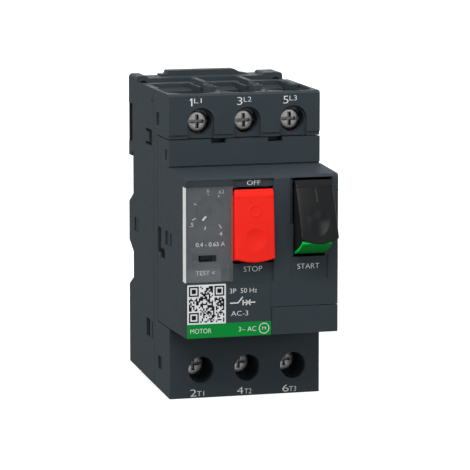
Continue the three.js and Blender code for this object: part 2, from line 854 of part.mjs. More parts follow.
// ---------------------------------------------------------------- assembly
place("base_housing", baseHousing(), HOUSING);
place("terminal_housing", terminalHousing(), HOUSING);
place("front_cover", frontCover(), HOUSING);
place("blanking_cover", blankingCover(), HOUSING);
place("rating_label", ratingLabel(), LABEL);
place("stop_button", stopButton(), RED);
place("start_button", startButton(), BLACK);
place("start_indicator", startIndicator(), GREEN);
place("setting_dial", settingDial(), DIAL_GREY);
place("test_lever", testLever(), INNER_PLASTIC);
place("dial_cover", dialCover(), CLEAR);
place("contact_carrier", contactCarrier(), INNER_PLASTIC);
place("trip_slider", tripSlider(), INNER_PLASTIC);
place("lock_frame", lockFrame(), STEEL);
place("switch_lever", switchLever(), STEEL);
place("lock_spring", lockSpring(), SPRING_STEEL);
place("rail_latch", railLatch(), INNER_PLASTIC);
place("latch_spring", latchSpring(5.6), SPRING_STEEL);

POLES.forEach((x, i) => {
  const pole = i + 1;
  place(`line_screw_${pole}`, terminalScrew(x, UPPER_TERMINAL), ZINC);
  place(`line_cage_${pole}`, terminalCage(x, UPPER_TERMINAL), ZINC);
  place(`load_screw_${pole}`, terminalScrew(x, LOWER_TERMINAL), ZINC);
  place(`load_cage_${pole}`, terminalCage(x, LOWER_TERMINAL), ZINC);
  place(`line_contact_${pole}`, lineContact(x), COPPER);
  place(`load_contact_${pole}`, loadContact(x), COPPER);
  place(`moving_contact_${pole}`, movingContact(x), COPPER);
  place(`contact_spring_${pole}`, contactSpring(x), SPRING_STEEL);
  place(`arc_chute_${pole}`, arcChute(x), STEEL);
  place(`trip_coil_${pole}`, tripCoil(x), COPPER);
  place(`trip_plunger_${pole}`, tripPlunger(x), STEEL);
  place(`bimetal_strip_${pole}`, bimetalStrip(x), SPRING_STEEL);
  place(`load_conductor_${pole}`, loadConductor(x), COPPER);
});
// The heaters complete the three poles.
POLES.forEach((x, i) => place(`heater_winding_${i + 1}`, heaterWinding(x), COPPER));

export default breaker;
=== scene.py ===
"""Looks of the motor protection breaker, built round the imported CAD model.

Metres, in the CAD model's frame: X to the right, -Y to the front, +Z up, with the origin on the
back plane at the height of the rail's centre line. Outlines and small details are drawn in
millimetres and turned into metres with MM; up() turns a height above the underside into a Z.
"""
import json
import math
import random

import bmesh
import bpy
from mathutils import Euler, Matrix, Vector


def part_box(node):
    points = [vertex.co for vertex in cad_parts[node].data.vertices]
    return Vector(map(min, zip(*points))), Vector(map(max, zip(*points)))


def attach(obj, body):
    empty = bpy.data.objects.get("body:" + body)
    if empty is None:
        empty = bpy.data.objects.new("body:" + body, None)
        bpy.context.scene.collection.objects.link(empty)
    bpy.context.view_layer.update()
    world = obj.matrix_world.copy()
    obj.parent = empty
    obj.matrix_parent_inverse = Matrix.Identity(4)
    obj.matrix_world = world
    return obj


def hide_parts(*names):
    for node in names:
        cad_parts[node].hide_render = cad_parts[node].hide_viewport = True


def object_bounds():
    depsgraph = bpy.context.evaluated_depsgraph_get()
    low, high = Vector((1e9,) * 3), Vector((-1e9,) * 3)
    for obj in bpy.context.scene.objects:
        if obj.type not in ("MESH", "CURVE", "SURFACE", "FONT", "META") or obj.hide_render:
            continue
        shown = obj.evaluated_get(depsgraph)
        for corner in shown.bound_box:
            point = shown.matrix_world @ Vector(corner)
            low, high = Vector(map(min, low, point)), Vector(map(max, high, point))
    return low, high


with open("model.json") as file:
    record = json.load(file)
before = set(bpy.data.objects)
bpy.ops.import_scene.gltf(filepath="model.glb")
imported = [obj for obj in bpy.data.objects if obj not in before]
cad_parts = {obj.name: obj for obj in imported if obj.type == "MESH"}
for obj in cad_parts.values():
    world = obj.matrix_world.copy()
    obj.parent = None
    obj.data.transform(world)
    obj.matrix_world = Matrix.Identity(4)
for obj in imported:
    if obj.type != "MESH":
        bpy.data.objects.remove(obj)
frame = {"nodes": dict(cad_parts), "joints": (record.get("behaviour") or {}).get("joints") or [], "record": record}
CAD_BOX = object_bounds()
NODES = frame["nodes"]

MM = 0.001
BOTTOM = CAD_BOX[0][2]  # underside of the housing
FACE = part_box("terminal_housing")[0][1]  # Y of the terminal faces
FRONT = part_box("front_cover")[0][1]  # Y of the raised front
# X of the middle of each pole
POLES = [sum(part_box(f"line_cage_{i}")[k][0] for k in (0, 1)) / 2 for i in (1, 2, 3)]
JOINTS = {joint["name"]: joint for joint in frame["joints"]}
AXLE = Vector(JOINTS["start_press"]["pos_m"])  # axle of both push-buttons
TRAVEL = math.radians(22)  # swing of a push-button
HALF_WIDTH = 22.5  # from the middle to the outside of a side wall, in millimetres
EYE_RADIUS = 0.72  # inside of the eyes that turn on the buttons' axle, in millimetres


def up(z):
    """A height in millimetres above the underside, as a Z in metres."""
    return BOTTOM + z * MM


# ---------------------------------------------------------------- camera, floor and light
def look_at_breaker():
    """Long lens, from the front left and slightly above."""
    azimuth, elevation = math.radians(-15.605), math.radians(8.603)
    distance, lens = 0.95241, 248.98  # metres, and millimetres of focal length
    target = Vector((1.25 * MM, -33 * MM, up(44.891)))
    back = Vector(
        (
            math.sin(azimuth) * math.cos(elevation),
            -math.cos(azimuth) * math.cos(elevation),
            math.sin(elevation),
        )
    )
    data = bpy.data.cameras.new("camera")
    data.lens = lens
    data.clip_start = 0.05
    data.clip_end = 20
    camera = bpy.data.objects.new("camera", data)
    camera.location = target + back * distance
    camera.rotation_euler = Euler((math.pi / 2 - elevation, 0, azimuth))
    bpy.context.scene.collection.objects.link(camera)
    bpy.context.scene.camera = camera


def studio():
    """A white floor that sweeps up behind the breaker, and soft light from all round it."""
    floor = bpy.data.materials.new("floor")
    floor.use_nodes = True
    shader = floor.node_tree.nodes["Principled BSDF"]
    shader.inputs["Base Color"].default_value = (0.35, 0.35, 0.35, 1)
    shader.inputs["Emission Color"].default_value = (1, 1, 1, 1)
    shader.inputs["Emission Strength"].default_value = 0.8
    shader.inputs["Roughness"].default_value = 0.95
    shader.inputs["Specular IOR Level"].default_value = 0.1
    half, near, far, radius, steps, top = 3.0, -2.5, 0.9, 0.5, 12, 2.5
    profile = [(near, 0.0), (far, 0.0)]
    for i in range(1, steps + 1):
        a = math.pi / 2 * i / steps
        profile.append((far + radius * math.sin(a), radius * (1 - math.cos(a))))
    profile.append((far + radius, top))
    verts = [(x, y, BOTTOM + z) for y, z in profile for x in (-half, half)]
    faces = [(2 * i, 2 * i + 1, 2 * i + 3, 2 * i + 2) for i in range(len(profile) - 1)]
    sweep = new_object("studio_sweep", verts, faces, floor, smooth=True)
    sweep.visible_diffuse = False  # the breaker's undersides stay dark
    sweep.visible_glossy = False

    sky()
    # plain display of the light, so that white stays white and the colours stay full
    bpy.context.scene.view_settings.view_transform = "Standard"

    softbox("key", (-0.5, -0.6, 0.75), 0.4, 4)
    softbox("near", (-0.05, -0.4, 0.45), 0.25, 1.6)
    softbox("front", (0.3, -1.2, 0.12), 0.5, 3)
    softbox("left", (-1.1, -0.2, 0.2), 0.5, 11, (1, 0.93, 0.88))
    softbox("right", (0.9, -0.7, 0.3), 0.5, 3)
    softbox("top", (0.0, 0.2, 1.0), 0.8, 3)
    softbox("far_side", (1.1, 0.1, 0.25), 0.6, 8)
    softbox("behind", (0.2, 1.2, 0.05), 0.6, 6)


def sky():
    """Even light from all directions, dim from below and brighter from above."""
    world = bpy.data.worlds.new("studio")
    world.use_nodes = True
    tree = world.node_tree
    split = tree.nodes.new("ShaderNodeSeparateXYZ")
    fade = tree.nodes.new("ShaderNodeMapRange")
    set_range(fade, (-0.3, 0.8), (0.24, 0.56))  # a direction's Z, and the strength of its light
    tree.links.new(tree.nodes.new("ShaderNodeTexCoord").outputs["Generated"], split.inputs[0])
    tree.links.new(split.outputs["Z"], fade.inputs["Value"])
    tree.links.new(fade.outputs["Result"], tree.nodes["Background"].inputs["Strength"])
    tree.nodes["Background"].inputs["Color"].default_value = (1, 1, 1, 1)
    bpy.context.scene.world = world


def softbox(name, place, size, power, colour=(1, 1, 1)):
    """A square light of the given size in metres and power in watts, turned to the breaker."""
    middle = Vector((0, -0.03, 0))
    data = bpy.data.lights.new(name, "AREA")
    data.color = colour
    data.energy = power
    data.size = size
    light = bpy.data.objects.new(name, data)
    light.location = place
    light.rotation_euler = (middle - Vector(place)).to_track_quat("-Z", "Y").to_euler()
    bpy.context.scene.collection.objects.link(light)


# ---------------------------------------------------------------- materials
def set_range(node, source, target):
    """Makes a Map Range node map the source span on to the target span."""
    for key, number in zip(("From Min", "From Max", "To Min", "To Max"), (*source, *target)):
        node.inputs[key].default_value = number


class Graph:
    """Short hand for building one node material."""

    def __init__(self, name):
        self.material = bpy.data.materials.new(name)
        self.material.use_nodes = True
        self.tree = self.material.node_tree
        self.shader = self.tree.nodes["Principled BSDF"]
        self.coords = self.add("ShaderNodeTexCoord").outputs["Object"]

    def add(self, kind, **settings):
        node = self.tree.nodes.new(kind)
        for key, value in settings.items():
            if key in node.inputs:
                self.feed(node.inputs[key], value)
            else:
                setattr(node, key, value)
        return node

    def feed(self, socket, value):
        if isinstance(value, bpy.types.NodeSocket):
            self.tree.links.new(value, socket)
        else:
            socket.default_value = value

    def set(self, **values):
        for key, value in values.items():
            self.feed(self.shader.inputs[key.replace("_", " ")], value)

    def noise(self, scale, detail=3.0, roughness=0.5, coords=None):
        node = self.add("ShaderNodeTexNoise", Scale=scale, Detail=detail, Roughness=roughness)
        self.tree.links.new(coords or self.coords, node.inputs["Vector"])
        return node.outputs["Fac"]

    def stretched(self, scale, rotation=(0, 0, 0)):
        """The object's coordinates, stretched into a grain."""
        node = self.add("ShaderNodeMapping")
        node.inputs["Scale"].default_value = scale
        node.inputs["Rotation"].default_value = rotation
        self.tree.links.new(self.coords, node.inputs["Vector"])
        return node.outputs["Vector"]

    def axis(self, letter):
        """One of the object's coordinates."""
        node = self.add("ShaderNodeSeparateXYZ")
        self.tree.links.new(self.coords, node.inputs[0])
        return node.outputs[letter]

    def maths(self, operation, *values):
        node = self.add("ShaderNodeMath", operation=operation)
        for socket, value in zip(node.inputs, values):
            self.feed(socket, value)
        return node.outputs[0]

    def spread(self, value, low, high, start=0.3, end=0.7):
        """Maps start to end on to low to high; the defaults are a noise's usual span."""
        node = self.add("ShaderNodeMapRange")
        set_range(node, (start, end), (low, high))
        self.tree.links.new(value, node.inputs["Value"])
        return node.outputs["Result"]

    def mix(self, factor, a, b):
        node = self.add("ShaderNodeMix", data_type="RGBA")
        self.feed(node.inputs["Factor"], factor)
        self.feed(node.inputs[6], a)
        self.feed(node.inputs[7], b)
        return node.outputs[2]

    def bump(self, height, distance, strength=1.0, normal=None):
        node = self.add("ShaderNodeBump", Strength=strength, Distance=distance)
        self.tree.links.new(height, node.inputs["Height"])
        if normal:
            self.tree.links.new(normal, node.inputs["Normal"])
        return node.outputs["Normal"]

    def edges(self, radius):
        """1 along convex and concave edges, falling to 0 on the flats."""
        bevel = self.add("ShaderNodeBevel", samples=4, Radius=radius)
        plain = self.add("ShaderNodeNewGeometry").outputs["Normal"]
        dot = self.add("ShaderNodeVectorMath", operation="DOT_PRODUCT")
        self.tree.links.new(bevel.outputs["Normal"], dot.inputs[0])
        self.tree.links.new(plain, dot.inputs[1])
        return self.spread(dot.outputs["Value"], 1.0, 0.0, 0.75, 0.995)


def shade(colour, factor):
    """A colour made darker or lighter, with full alpha."""
    return tuple(c * factor for c in colour[:3]) + (1,)


def moulded_plastic(name, colour, roughness, grain=1.0, edge_wear_and_highlight=0.5, specular=0.2, mottle=0.06):
    """Injection moulding: spark-eroded grain, faint flow mottling, and paler edges, partly rubbed wear and partly
    a painted highlight.
    """
    g = Graph(name)
    cloud = g.noise(90, 4, 0.6)
    speckle = g.noise(2600, 2, 0.6)
    base = g.mix(g.spread(cloud, 0, 1), shade(colour, 1 - mottle), shade(colour, 1 + mottle))
    # paler edges in patches: partly rubbed wear, partly a painted highlight along the edges
    rubbed_and_highlit = g.mix(g.spread(g.noise(700, 3), 0.0, edge_wear_and_highlight), shade(colour, 1), shade(colour, 1.9))
    g.set(Base_Color=g.mix(g.edges(0.00025), base, rubbed_and_highlit))
    patchy = g.spread(cloud, -0.05, 0.05)
    g.set(Roughness=g.maths("ADD", patchy, g.spread(speckle, roughness - 0.07, roughness + 0.07)))
    g.shader.inputs["Specular IOR Level"].default_value = specular
    fine = g.bump(speckle, 0.00002 * grain, 0.5)
    g.set(Normal=g.bump(g.noise(600, 2), 0.00003 * grain, 0.35, fine))
    return g.material


def gloss_plastic(name, colour, roughness, edge_wear_and_highlight=0.25, specular=0.3):
    """Smooth moulding with the finest orange-peel ripple, small scuffs, and edges painted paler as a highlight."""
    g = Graph(name)
    cloud = g.noise(60, 3)
    ripple = g.noise(420, 2)
    scuff = g.noise(1500, 5, 0.75)
    base = g.mix(g.spread(cloud, 0, 1), shade(colour, 0.94), shade(colour, 1.05))
    # paler edges: a painted highlight
    g.set(Base_Color=g.mix(g.edges(0.0003), base, shade(colour, 1 + edge_wear_and_highlight)))
    g.set(Roughness=g.spread(scuff, roughness - 0.05, roughness + 0.1, 0.35, 0.75))
    g.shader.inputs["Specular IOR Level"].default_value = specular
    g.set(Normal=g.bump(ripple, 0.00004, 0.3))
    return g.material


def metal(name, colour, roughness, brushed=(1, 1, 1), tarnish=0.25, grain=0.00001, recess=None):
    """Metal with a grain, with darker edges and patches in its plating; in the creases the darker edges are
    painted shade.

    brushed stretches the grain. recess is a span of depths along the object's Y, over which the
    metal is painted darker from its front to the bottom of its recess, as painted shade.
    """
    g = Graph(name)
    lines = g.noise(2200, 4, 0.7, g.stretched(brushed))
    patches = g.noise(260, 4, 0.65)
    # darker along convex edges and in creases; in the creases this is painted shade
    darker_edges = g.mix(g.edges(0.0003), shade(colour, 1.0), shade(colour, 0.75))
    base = g.mix(g.spread(patches, 0, 1), shade(colour, 1 - tarnish), darker_edges)
    if recess:
        # painted shade: darker towards the bottom of the recess in a screw head
        base = g.mix(g.spread(g.axis("Y"), 0, 1, *recess), base, shade(colour, 0.35))
    g.set(Base_Color=base, Metallic=1.0)
    g.set(Roughness=g.spread(lines, roughness - 0.08, roughness + 0.12))
    g.set(Normal=g.bump(lines, grain, 0.6))
    return g.material


def clear_plastic():
    """Grey-tinted clear moulding, frosted white along its hinge side, with fine scratches."""
    g = Graph("clear_cover")
    haze = g.noise(240, 4, 0.65)
    scratches = g.noise(900, 6, 0.8, g.stretched((0.15, 1, 1.6), (0, 0.5, 0)))
    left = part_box("dial_cover")[0][0]
    rim = g.spread(g.axis("X"), 1.0, 0.0, left + 0.15 * MM, left + 0.35 * MM)
    # the moulding is thicker near the bottom, and clearer in the corner beside the test mark
    foot = g.spread(g.axis("Z"), 1.0, 0.0, up(39.8), up(41))
    cover = g.maths("ADD", g.spread(haze, 0.18, 0.24), g.maths("MULTIPLY", foot, 0.1))
    right_of_test = g.spread(g.axis("X"), 0.0, 0.12, -12.1 * MM, -11.9 * MM)
    below_corner = g.spread(g.axis("Z"), 1.0, 0.0, up(40.4), up(40.6))
    cover = g.maths("SUBTRACT", cover, g.maths("MULTIPLY", right_of_test, below_corner))
    g.set(Base_Color=g.mix(rim, (0.22, 0.24, 0.25, 1), (0.5, 0.53, 0.54, 1)))
    g.set(Alpha=g.maths("MAXIMUM", cover, rim))
    g.set(Roughness=g.spread(scratches, 0.12, 0.3))
    g.set(Normal=g.bump(scratches, 0.000008, 0.4))
    g.shader.inputs["Specular IOR Level"].default_value = 0.25
    return g.material


def printed(name, colour):
    """Pad-printed ink: slightly uneven cover with a soft sheen."""
    g = Graph(name)
    patchy = g.noise(1800, 3, 0.7)
    g.set(Base_Color=g.mix(g.spread(patchy, 0, 1), shade(colour, 0.88), shade(colour, 1.0)))
    g.set(Roughness=g.spread(patchy, 0.42, 0.6))
    g.shader.inputs["Specular IOR Level"].default_value = 0.08
    g.set(Normal=g.bump(patchy, 0.000006, 0.4))
    return g.material


# ---------------------------------------------------------------- mesh helpers
def new_mesh(name, verts, faces):
    mesh = bpy.data.meshes.new(name)
    mesh.from_pydata([tuple(v) for v in verts], [], faces)
    mesh.update()
    return mesh


def face_outward(mesh):
    """Turns the faces of closed shells so that their normals point out."""
    bm = bmesh.new()
    bm.from_mesh(mesh)
    bmesh.ops.recalc_face_normals(bm, faces=bm.faces)
    bm.to_mesh(mesh)
    bm.free()


def new_object(name, verts, faces, material, smooth=False):
    mesh = new_mesh(name, verts, faces)
    face_outward(mesh)
    obj = bpy.data.objects.new(name, mesh)
    bpy.context.scene.collection.objects.link(obj)
    mesh.materials.append(material)
    if smooth:
        mesh.shade_smooth()
    return obj


def as_piece(obj, body, replaced=()):
    """Attaches an object to the body it moves with, and hides the nodes it replaces."""
    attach(obj, body)
    if replaced:
        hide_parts(*replaced)
    return obj


def soften(obj, width):
    """Rounds the sharp edges of an object to the given radius and shades it smoothly."""
    flat = obj.modifiers.new("merge_flats", "DECIMATE")
    flat.decimate_type = "DISSOLVE"
    flat.angle_limit = math.radians(0.5)
    bevel = obj.modifiers.new("edge_radius", "BEVEL")
    bevel.width = width
    bevel.segments = 2
    bevel.limit_method = "ANGLE"
    bevel.angle_limit = math.radians(35)
    bevel.harden_normals = True
    bevel.miter_outer = "MITER_ARC"
    obj.data.shade_smooth()
    weighted = obj.modifiers.new("flat_shading", "WEIGHTED_NORMAL")
    weighted.keep_sharp = True


def finish_node(name, material, radius):
    """A CAD node that shows as it is, with rounded edges and a real material."""
    node = NODES[name]
    node.data.materials.clear()
    node.data.materials.append(material)
    if radius:
        soften(node, radius)


def joined(name, meshes, material):
    """One object from several (mesh, matrix) pairs."""
    bm = bmesh.new()
    for mesh, matrix in meshes:
        part = mesh.copy()
        part.transform(matrix)
        bm.from_mesh(part)
        bpy.data.meshes.remove(part)
    mesh = bpy.data.meshes.new(name)
    bm.to_mesh(mesh)
    bm.free()
    mesh.materials.clear()
    mesh.materials.append(material)
    obj = bpy.data.objects.new(name, mesh)
    bpy.context.scene.collection.objects.link(obj)
    return obj


def smoothstep(value, low, high):
    t = min(1.0, max(0.0, (value - low) / (high - low)))
    return t * t * (3 - 2 * t)


# ---------------------------------------------------------------- push-buttons
# A button's side profile is drawn pushed in, in millimetres from the axle: (y, z, corner radius).
def about_axle(r, degrees):
    """A point at a radius from the axle, at an angle from straight down towards the front."""
    a = math.radians(degrees)
    return -r * math.sin(a), -r * math.cos(a)


def arc(r, start, end, steps):
    """Corners of an arc about the axle."""
    angles = [start + (end - start) * i / steps for i in range(steps + 1)]
    return [about_axle(r, angle) + (0.0,) for angle in angles]


def button_face(under):
    """From the top edge, down the face, round the lip and back along the underside.

    under is the radius of the underside, which stays that far from the axle as the button swings.
    """
    return [
        (-4.5, -1.8, 0.55),
        (-5.2, -0.8, 0.55),
        (-6.0, -2.7, 0.5),
        (-6.6, -9.0, 2.0),
        about_axle(under + 0.2, 20) + (0.9,),
    ] + arc(under, 17.5, -12, 14)


def shell_profile(under):
    """Section through the middle of a button: a wall round the face and the underside."""
    wall = 1.8
    inside = arc(under - wall, -12, 9, 8) + [(-3.4, -14, 1), (-3.2, -6.5, 0.5), (-4.2, -4.6, 0.3)]
    return button_face(under) + inside


def cheek_profile(under):
    """Side wall of a button, from its face back to the axle."""
    return button_face(under) + [(1.0, -1.4, 0.8), (-1.4, -3.1, 0.5), (-3.0, -3.4, 0.5)]


def cap_profile(under):
    """Section through the overhanging side of the start button's cap."""
    face = button_face(under)[:5]  # down to the lip
    back = [
        about_axle(under, 17.2) + (0.3,),
        (-5.7, -18.4, 0.3),
        (-5.3, -11.2, 0.3),
        (-3.4, -11.2, 0.4),
        (-3.2, -6.5, 0.5),
        (-4.2, -4.6, 0.3),
    ]
    return face + back


def rounded(outline, step):
    """Rounds the corners of a closed outline, then divides it into short lengths."""
    points = []
    for i, (y, z, radius) in enumerate(outline):
        corner = Vector((y, z))
        neighbours = outline[i - 1], outline[(i + 1) % len(outline)]
        arms = [Vector(neighbour[:2]) - corner for neighbour in neighbours]
        reach = min(radius, arms[0].length * 0.45, arms[1].length * 0.45)
        if reach < 0.02:  # too small to show
            points.append(corner)
            continue
        start, end = (corner + arm.normalized() * reach for arm in arms)
        for k in range(6):
            t = k / 5
            points.append(start * (1 - t) ** 2 + corner * 2 * t * (1 - t) + end * t * t)
    dense = []
    for a, b in zip(points, points[1:] + points[:1]):
        parts = max(1, round((b - a).length / step))
        dense += [a + (b - a) * k / parts for k in range(parts)]
    return dense


def outward(loop):
    """Outward normals of a closed loop."""
    area = sum(a.x * b.y - b.x * a.y for a, b in zip(loop, loop[1:] + loop[:1]))
    turn = 1 if area > 0 else -1
    normals = []
    for i in range(len(loop)):
        along = (loop[(i + 1) % len(loop)] - loop[i - 1]).normalized()
        normals.append(Vector((along.y, -along.x)) * turn)
    return normals


def stations(x0, x1, step, rounding=0.25, sides=(False, False)):
    """X positions across a piece, each with how far its outline is drawn in by a rounded side.

    sides says whether the left and the right side are rounded.
    """
    angles = [math.pi / 2 * k / 6 for k in range(6)]
    turns = [rounding * (1 - math.cos(angle)) for angle in angles]
    sunk = [rounding * (1 - math.sin(angle)) for angle in angles]
    left = list(zip([x0 + t for t in turns], sunk)) if sides[0] else [(x0, 0.0)]
    right = list(zip([x1 - t for t in turns], sunk)) if sides[1] else [(x1, 0.0)]
    start, end = left[-1][0], right[-1][0]
    count = max(1, round((end - start) / step))
    middle = [(start + (end - start) * k / count, 0.0) for k in range(1, count)]
    return left + middle + right[::-1]


def loft(outline, across, relief, step=0.16):
    """A closed solid swept across X, with its outer skin moved by relief(x, y, z) -> (out, down)."""
    loop = rounded(outline, step)
    normals = outward(loop)
    verts = []
    for x, inset in across:
        for point, normal in zip(loop, normals):
            out, shift = relief(x, point.x, point.y)
            moved = point + normal * (out - inset) + shift
            verts.append((x * MM, moved.x * MM, moved.y * MM))
    n = len(loop)
    faces = []
    for k in range(len(across) - 1):
        for i in range(n):
            j = (i + 1) % n
            faces.append((k * n + i, k * n + j, (k + 1) * n + j, (k + 1) * n + i))
    faces.append(tuple(range(n)))
    faces.append(tuple(range((len(across) - 1) * n, len(across) * n)))
    return new_mesh("loft", verts, faces)


def eye(x0, x1):
    """Eye that turns on the axle, open at the back so that it clips on."""
    inner, outer, steps = EYE_RADIUS, 1.4, 28
    gap = 50  # half of the opening, in degrees
    verts, faces = [], []
    for k in range(steps + 1):
        a = math.radians(gap + (360 - 2 * gap) * k / steps)
        for x, r in ((x0, inner), (x0, outer), (x1, outer), (x1, inner)):
            verts.append((x * MM, r * math.cos(a) * MM, r * math.sin(a) * MM))
    for k in range(steps):
        for i in range(4):
            j = (i + 1) % 4
            faces.append((4 * k + i, 4 * k + j, 4 * k + 4 + j, 4 * k + 4 + i))
    faces += [(0, 1, 2, 3), tuple(4 * steps + i for i in (3, 2, 1, 0))]
    return new_mesh("eye", verts, faces)


def dish(x, z, centre, radius, depth):
    """A round finger dimple."""
    d = math.hypot(x - centre[0], z - centre[1]) / radius
    return -depth * max(0.0, 1 - d * d) if d < 1 else 0.0


def raised_line(distance, half_width, height):
    """Height of a soft-edged line at a distance from its middle."""
    return height * (1 - smoothstep(distance, half_width - 0.12, half_width + 0.12))


def bulge(x, y, z, middle, half, lip_z, direction):
    """How far the lower lip is drawn down, which is most in the middle."""
    share = smoothstep(-z, lip_z - 4.5, lip_z) * smoothstep(-y, 5.0, 6.4)
    return direction * (share * max(0.0, 1 - ((x - middle) / half) ** 2))


def on_face(y, z):
    """Whether a point of a button's outline is on its face."""
    return y < -5.6 and z < -3.2


def stop_relief(x, y, z):
    """A raised circle above a shallow dimple, on a slightly crowned face."""
    middle, half = -2.5, 5.7
    circle_x, circle_z, circle_radius = -2.4, -7.1, 1.6
    out = 0.0
    if on_face(y, z):
        from_circle = abs(math.hypot(x - circle_x, (z - circle_z) * 1.02) - circle_radius)
        out = dish(x, z, (-2.3, -15), 3.0, 0.3) + raised_line(from_circle, 0.26, 0.09)
        out -= 0.12 * ((x - middle) / half) ** 2
    return out, bulge(x, y, z, middle, half, 20.6, Vector((0, -0.95)))


def start_relief(x, y, z):
    """A sunk stroke above a deep dimple, on a crowned face."""
    middle, half = 14.95, 5.45
    stroke_x, stroke_z, stroke_half = 14.85, -5.7, 1.9
    out = 0.0
    if on_face(y, z):
        beyond_end = max(0.0, abs(z - stroke_z) - stroke_half)
        from_stroke = math.hypot(x - stroke_x, beyond_end)
        out = dish(x, z, (14.7, -13.6), 3.35, 0.75) - raised_line(from_stroke, 0.24, 0.12)
        out -= 0.25 * ((x - middle) / half) ** 2
    down = Vector((math.sin(TRAVEL), -math.cos(TRAVEL)))  # straight down once it stands out
    return out, bulge(x, y, z, middle, half, 18.6, down * 1.3)


def push_button(name, pieces, swing, material, body, node):
    """pieces are meshes drawn pushed in about the axle; swing turns the lower end out."""
    place = Matrix.Translation((0, AXLE.y, AXLE.z)) @ Matrix.Rotation(-swing, 4, "X")
    obj = joined(name, [(piece, place) for piece in pieces], material)
    face_outward(obj.data)
    obj.data.shade_smooth()
    obj.data.set_sharp_from_angle(angle=math.radians(38))
    return as_piece(obj, body, [node])


def stop_button(material):
    under, left, right = 21.9, -8.2, 3.2
    cheek, shell = cheek_profile(under), shell_profile(under)
    pieces = [
        loft(cheek, stations(left, left + 1, 0.3, sides=(True, False)), stop_relief),
        loft(shell, stations(left + 1, right - 1, 0.16), stop_relief),
        loft(cheek, stations(right - 1, right, 0.3, sides=(False, True)), stop_relief),
        eye(left, left + 1.8),
        eye(right - 1.8, right),
    ]
    return push_button("stop_push_button", pieces, 0.0, material, "stop", "stop_button")


def start_button(material):
    """Its cap overhangs on the right, past the cheek at narrow."""
    under, left, narrow, right = 19.7, 9.5, 18.4, 20.4
    cheek, shell, cap = cheek_profile(under), shell_profile(under), cap_profile(under)
    pieces = [
        loft(cheek, stations(left, left + 1, 0.3, sides=(True, False)), start_relief),
        loft(shell, stations(left + 1, narrow - 1, 0.16), start_relief),
        loft(cheek, stations(narrow - 1, narrow, 0.3), start_relief),
        loft(cap, stations(narrow, right, 0.3, sides=(False, True)), start_relief),
        eye(left, left + 1.8),
        eye(narrow, right),
    ]
    name, slot, body, node = "start_push_button", "start_black", "start", "start_button"
    return push_button(name, pieces, TRAVEL, material, body, node)


# ---------------------------------------------------------------- screws and dial
def lathe(outline, segments):
    """Turns an outline of (radius, y) about Y; it starts and ends on the axis."""
    verts = [(0, outline[0][1], 0)]
    for r, y in outline[1:-1]:
        for k in range(segments):
            a = 2 * math.pi * k / segments
            verts.append((r * math.cos(a), y, r * math.sin(a)))
    verts.append((0, outline[-1][1], 0))
    rows = len(outline) - 2
    faces = []
    for k in range(segments):
        j = (k + 1) % segments
        faces.append((0, 1 + k, 1 + j))
        for row in range(rows - 1):
            a, b = 1 + row * segments, 1 + (row + 1) * segments
            faces.append((a + k, b + k, b + j, a + j))
        last = 1 + (rows - 1) * segments
        faces.append((len(verts) - 1, last + j, last + k))
    return verts, faces


def slab(x, y, z, taper=0.0):
    """A closed box as a mesh, from three spans in millimetres; its back may taper inwards."""
    verts = []
    for depth, tight in ((y[0], 0.0), (y[1], taper)):
        verts += [
            ((x[0] + tight) * MM, depth * MM, (z[0] + tight) * MM),
            ((x[1] - tight) * MM, depth * MM, (z[0] + tight) * MM),
            ((x[1] - tight) * MM, depth * MM, (z[1] - tight) * MM),
            ((x[0] + tight) * MM, depth * MM, (z[1] - tight) * MM),
        ]
    faces = [(0, 1, 2, 3), (7, 6, 5, 4)]
    faces += [(i + 4, (i + 1) % 4 + 4, (i + 1) % 4, i) for i in range(4)]
    return verts, faces


def carve(obj, tools):
    """Cuts solids out of an object; each tool is (verts, faces, turn about Y)."""
    for verts, faces, turn in tools:
        tool = new_object("tool", verts, faces, obj.data.materials[0])
        tool.rotation_euler = (0, turn, 0)
        modifier = obj.modifiers.new("cut", "BOOLEAN")
        modifier.operation = "DIFFERENCE"
        modifier.solver = "EXACT"
        modifier.object = tool
        graph = bpy.context.evaluated_depsgraph_get()
        mesh = bpy.data.meshes.new_from_object(obj.evaluated_get(graph), depsgraph=graph)
        obj.modifiers.clear()
        obj.data = mesh
        bpy.data.objects.remove(tool)
    return obj


def screw_mesh(material):
    """Pan head with a slot and a cross recess, and a threaded shank, along +Y from the head."""
    rim, head, shank, pitch, length = 3.18, 2.2, 1.95, 0.7, 6.45
    root = shank - 0.2
    outline = [(0, 0), (1.5, 0.01), (2.4, 0.05), (2.8, 0.14), (3.05, 0.34), (rim, 0.7)]
    outline += [(rim, head - 0.15), (rim - 0.15, head), (root, head)]
    turns = 5
    for k in range(turns):
        start = head + 0.2 + k * pitch
        outline += [(root, start), (shank, start + pitch / 2), (root, start + pitch)]
    outline += [(root - 0.2, length), (0, length)]
    verts, faces = lathe([(r * MM, y * MM) for r, y in outline], 48)
    obj = new_object("screw", verts, faces, material, smooth=True)
    slot = slab((-4, 4), (-1, 0.6), (-0.44, 0.44), 0.06)
    wing = slab((-2.05, 2.05), (-0.6, 1.3), (-0.58, 0.58), 0.2)
    carve(obj, [slot + (0,), wing + (0,), wing + (math.pi / 2,)])
    obj.data.shade_smooth()
    obj.data.set_sharp_from_angle(angle=math.radians(40))
    return obj


def terminal_screws(finishes):
    """Three screws in each row; finishes gives the material of a row, and the load row's is painted lighter as
    painted light.
    """
    for row, material in finishes.items():
        pattern = screw_mesh(material)
        for i in (1, 2, 3):
            node = f"{row}_screw_{i}"
            low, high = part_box(node)
            screw = pattern.copy()
            screw.name = f"{row}_terminal_screw_{i}"
            middle = (low + high) / 2
            screw.location = (middle.x, low.y, middle.z)
            bpy.context.scene.collection.objects.link(screw)
            as_piece(screw, node, [node])
        bpy.data.objects.remove(pattern)


